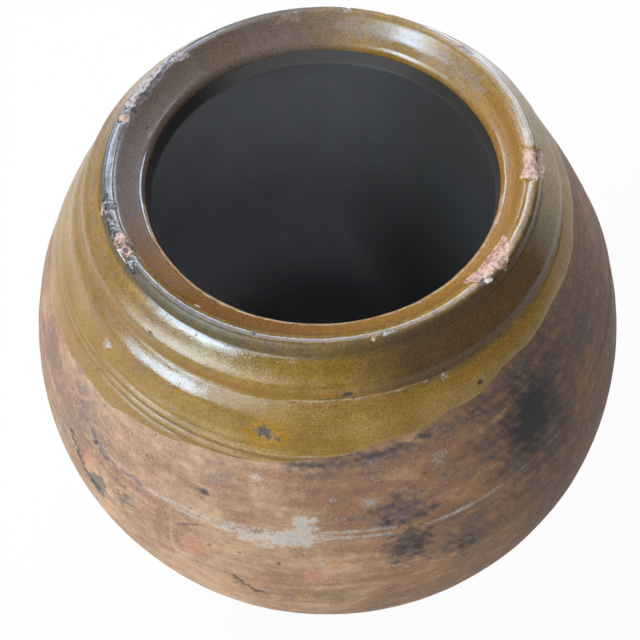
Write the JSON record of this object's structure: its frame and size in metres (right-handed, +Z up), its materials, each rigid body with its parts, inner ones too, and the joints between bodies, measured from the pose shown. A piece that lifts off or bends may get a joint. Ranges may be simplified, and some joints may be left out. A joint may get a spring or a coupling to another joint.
{
  "type": "olive jar",
  "caption": "Wide-bellied earthenware storage jar with a heavy collar and everted lip, glazed over the shoulder and inside, bare terracotta below.",
  "frame": {"origin": "middle of the flat underside, on the surface that the jar stands on", "axes": "+Z up along the jar's axis of revolution, -Y towards the side that the picture shows in front"},
  "size_m": [0.401, 0.401, 0.42],
  "materials": {
    "terracotta": "matt fired clay, smoke-stained and worn",
    "slip": "matt fired slip",
    "olive_glaze": "glossy olive to amber lead glaze, pinholed",
    "inner_glaze": "dark satin glaze"
  },
  "bodies": {
    "root": {"base_disc": "terracotta", "base_luting": "slip", "lower_wall": "terracotta", "shoulder_luting": "slip", "shoulder_wall": "terracotta", "collar_luting": "slip", "rim_collar": "terracotta", "outer_glaze": "olive_glaze", "inner_glaze": "inner_glaze"}
  },
  "joints": []
}
